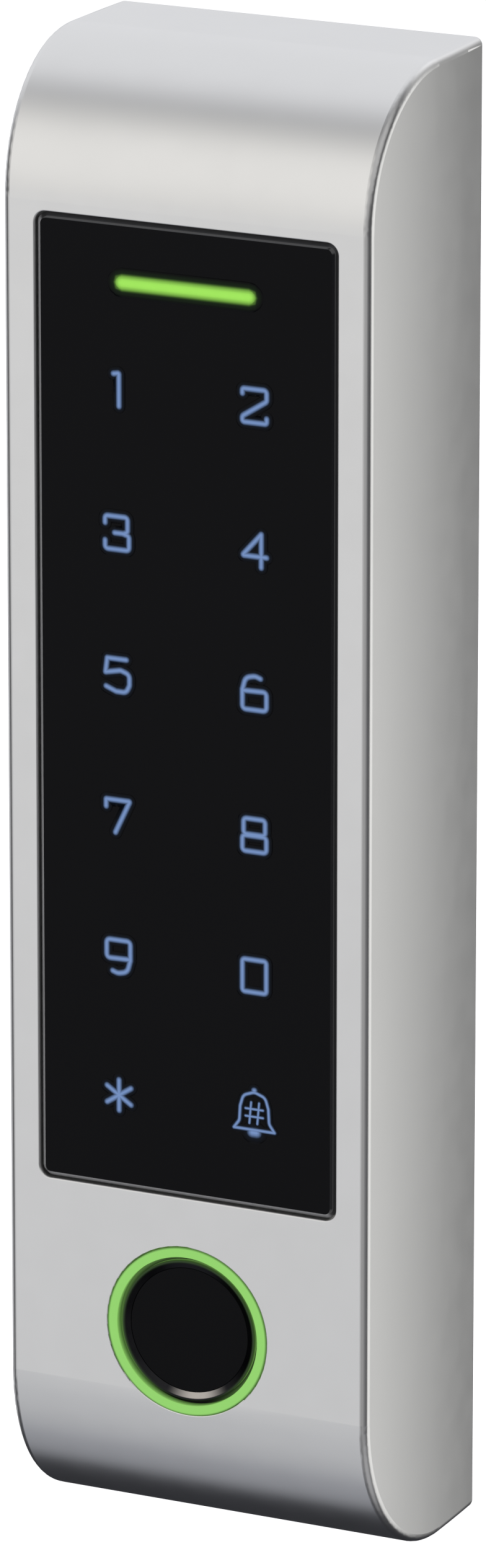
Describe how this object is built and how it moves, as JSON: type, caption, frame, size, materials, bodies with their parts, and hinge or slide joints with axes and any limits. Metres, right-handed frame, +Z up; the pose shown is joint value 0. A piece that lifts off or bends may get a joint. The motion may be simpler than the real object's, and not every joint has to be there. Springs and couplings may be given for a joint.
{
  "type": "fingerprint scanner terminal",
  "caption": "Slim wall-mounted access reader with a curved metal housing, a black touch keypad, a light bar and a round fingerprint sensor in a lit ring.",
  "frame": {"origin": "centre of the wall plate's back face, which lies on the wall", "axes": "+X to the right as seen from the front, +Y back into the wall, +Z up along the reader"},
  "size_m": [0.037, 0.024, 0.14],
  "materials": {
    "satin_zinc": "satin nickel on die-cast zinc",
    "black_glass": "polished black back-printed glass",
    "black_foam": "matt foam tape",
    "black_film": "printed film",
    "white_plastic": "white light-tight moulding",
    "green_light": "lit light guide",
    "board": "green solder mask",
    "led": "clear lens",
    "chip": "moulded chip package",
    "screw_steel": "zinc-plated",
    "copper": "enamelled copper wire",
    "seal_rubber": "silicone",
    "dark_chrome": "black chrome, polished chamfer",
    "sensor_black": "polished black coating",
    "black_plastic": "fine spark texture",
    "amber_film": "polyimide film",
    "cream_plastic": "moulded connector",
    "relay_case": "moulded relay cover",
    "can_aluminium": "drawn can",
    "plated_steel": "galvanised sheet",
    "stainless": "turned stainless"
  },
  "bodies": {
    "wall_mount": {"wall_plate": "plated_steel"},
    "unit": {"housing": "satin_zinc", "touch_panel": "black_glass", "panel_tape": "black_foam", "legend_film": "black_film", "light_frame": "white_plastic", "bar_light_guide": "green_light", "touch_board": "board", "key_leds": "led", "bar_leds": "led", "touch_chip": "chip", "touch_screws": "screw_steel", "card_coil": "copper", "ring_light": "green_light", "sensor_seal": "seal_rubber", "sensor_bezel": "dark_chrome", "sensor_window": "sensor_black", "sensor_chip": "chip", "sensor_holder": "black_plastic", "ring_leds": "led", "sensor_board": "board", "sensor_retainer": "plated_steel", "retainer_screws": "screw_steel", "sensor_ribbon": "amber_film", "ribbon_socket": "cream_plastic", "main_board": "board", "processor": "chip", "memory_chip": "chip", "relay": "relay_case", "buzzer": "black_plastic", "capacitor": "can_aluminium", "board_link": "cream_plastic", "cable_socket": "cream_plastic", "board_screws": "screw_steel", "rear_cover": "black_plastic", "rear_gasket": "seal_rubber", "cover_screws": "screw_steel", "cable_grommet": "seal_rubber", "tamper_switch": "black_plastic", "tamper_spring": "stainless", "hanger_pin": "stainless"},
    "lock_screw": {"lock_screw": "stainless"},
    "tamper_plunger": {"tamper_plunger": "white_plastic"}
  },
  "joints": [
    {"name": "unit_tilt", "type": "hinge", "parent": "wall_mount", "child": "unit", "pos_m": [0, -0.003, 0.066], "axis": [-1, 0, 0], "range_deg": [0, 8]},
    {"name": "lock_screw_travel", "type": "slide", "parent": "wall_mount", "child": "lock_screw", "axis": [0, 0, -1], "range_m": [0, 0.005]},
    {"name": "tamper_plunger_travel", "type": "slide", "parent": "unit", "child": "tamper_plunger", "axis": [0, 1, 0], "range_m": [0, 0.001]}
  ],
  "couplings": [
    {"joint": "tamper_plunger_travel", "follows": "unit_tilt", "m_per_rad": 0.00716}
  ]
}
